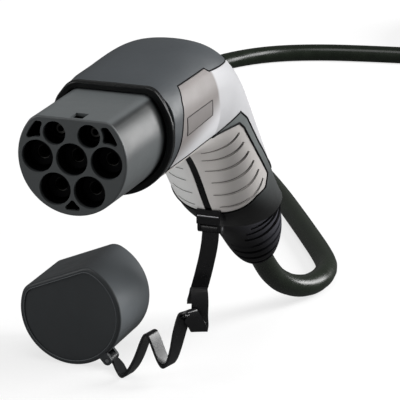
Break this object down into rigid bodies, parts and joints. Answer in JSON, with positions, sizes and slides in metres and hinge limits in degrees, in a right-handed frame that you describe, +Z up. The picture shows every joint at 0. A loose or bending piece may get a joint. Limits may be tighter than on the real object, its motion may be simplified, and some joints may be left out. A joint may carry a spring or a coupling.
{
  "type": "ev charging plug",
  "caption": "Vehicle-side charging connector with a D-shaped nose, pistol handle, tethered dust cap and its own cable.",
  "frame": {"origin": "centre of the nose's front face, on the middle contact's axis", "axes": "-Y out of the nose, +X to the right of someone facing the nose, +Z up"},
  "size_m": [0.2983, 1.0233, 0.2042],
  "materials": {
    "nose_plastic": "glossy dark grey moulding",
    "carrier_plastic": "mid grey glass-filled plastic",
    "seal_rubber": "matt black rubber",
    "hood_plastic": "satin slate grey, fine spark texture",
    "panel_plastic": "satin warm light grey",
    "frame_plastic": "satin mid grey",
    "grip_rubber": "soft-touch warm grey with finger grooves",
    "relief_rubber": "satin black elastomer",
    "cable_sheath": "satin black sheath",
    "tie_fabric": "black hook-and-loop tape",
    "clip_plastic": "satin black",
    "strap_plastic": "satin black moulded strap",
    "cap_rubber": "satin dark slate",
    "screw_steel": "bright zinc",
    "contact_metal": "silver-plated",
    "resistor_body": "tan lacquer",
    "wire_green_yellow": "green and yellow insulation",
    "wire_blue": "blue insulation",
    "wire_brown": "brown insulation",
    "wire_black": "black insulation",
    "wire_grey": "grey insulation",
    "wire_signal": "white insulation"
  },
  "bodies": {
    "root": {"bend_relief": "relief_rubber", "bezel": "nose_plastic", "cable_clamp_back": "carrier_plastic", "cable_clamp_front": "carrier_plastic", "cable_coil": "cable_sheath", "cable_cores": "wire_black", "cable_sheath_end": "cable_sheath", "cable_tail": "cable_sheath", "cable_tube": "cable_sheath", "clamp_screws": "screw_steel", "clip_pin": "screw_steel", "coding_resistor": "resistor_body", "coil_tie": "tie_fabric", "contact_cp": "contact_metal", "contact_l1": "contact_metal", "contact_l2": "contact_metal", "contact_l3": "contact_metal", "contact_n": "contact_metal", "contact_pe": "contact_metal", "contact_pp": "contact_metal", "contact_retainer": "carrier_plastic", "core_ferrules": "contact_metal", "frame_left": "frame_plastic", "frame_right": "frame_plastic", "front_strip": "grip_rubber", "grip_left": "grip_rubber", "grip_right": "grip_rubber", "hood": "hood_plastic", "housing_left": "panel_plastic", "housing_right": "panel_plastic", "housing_screws": "screw_steel", "nose_insert": "nose_plastic", "nose_seal": "seal_rubber", "relief_seal": "seal_rubber", "tether_clip": "clip_plastic", "wire_cp": "wire_signal", "wire_l1": "wire_brown", "wire_l2": "wire_black", "wire_l3": "wire_grey", "wire_n": "wire_blue", "wire_pe": "wire_green_yellow"},
    "tether": {"tether_strap": "strap_plastic"},
    "cap": {"cap": "cap_rubber", "cap_pin": "screw_steel"}
  },
  "joints": [
    {"name": "tether_swing", "type": "hinge", "parent": "root", "child": "tether", "pos_m": [0, 0.1835, -0.0905], "axis": [1, 0, 0], "range_deg": [-60, 15]},
    {"name": "cap_swing", "type": "hinge", "parent": "tether", "child": "cap", "pos_m": [-0.05581, 0.178, -0.17007], "axis": [0, 1, 0], "range_deg": [-30, 45]}
  ]
}
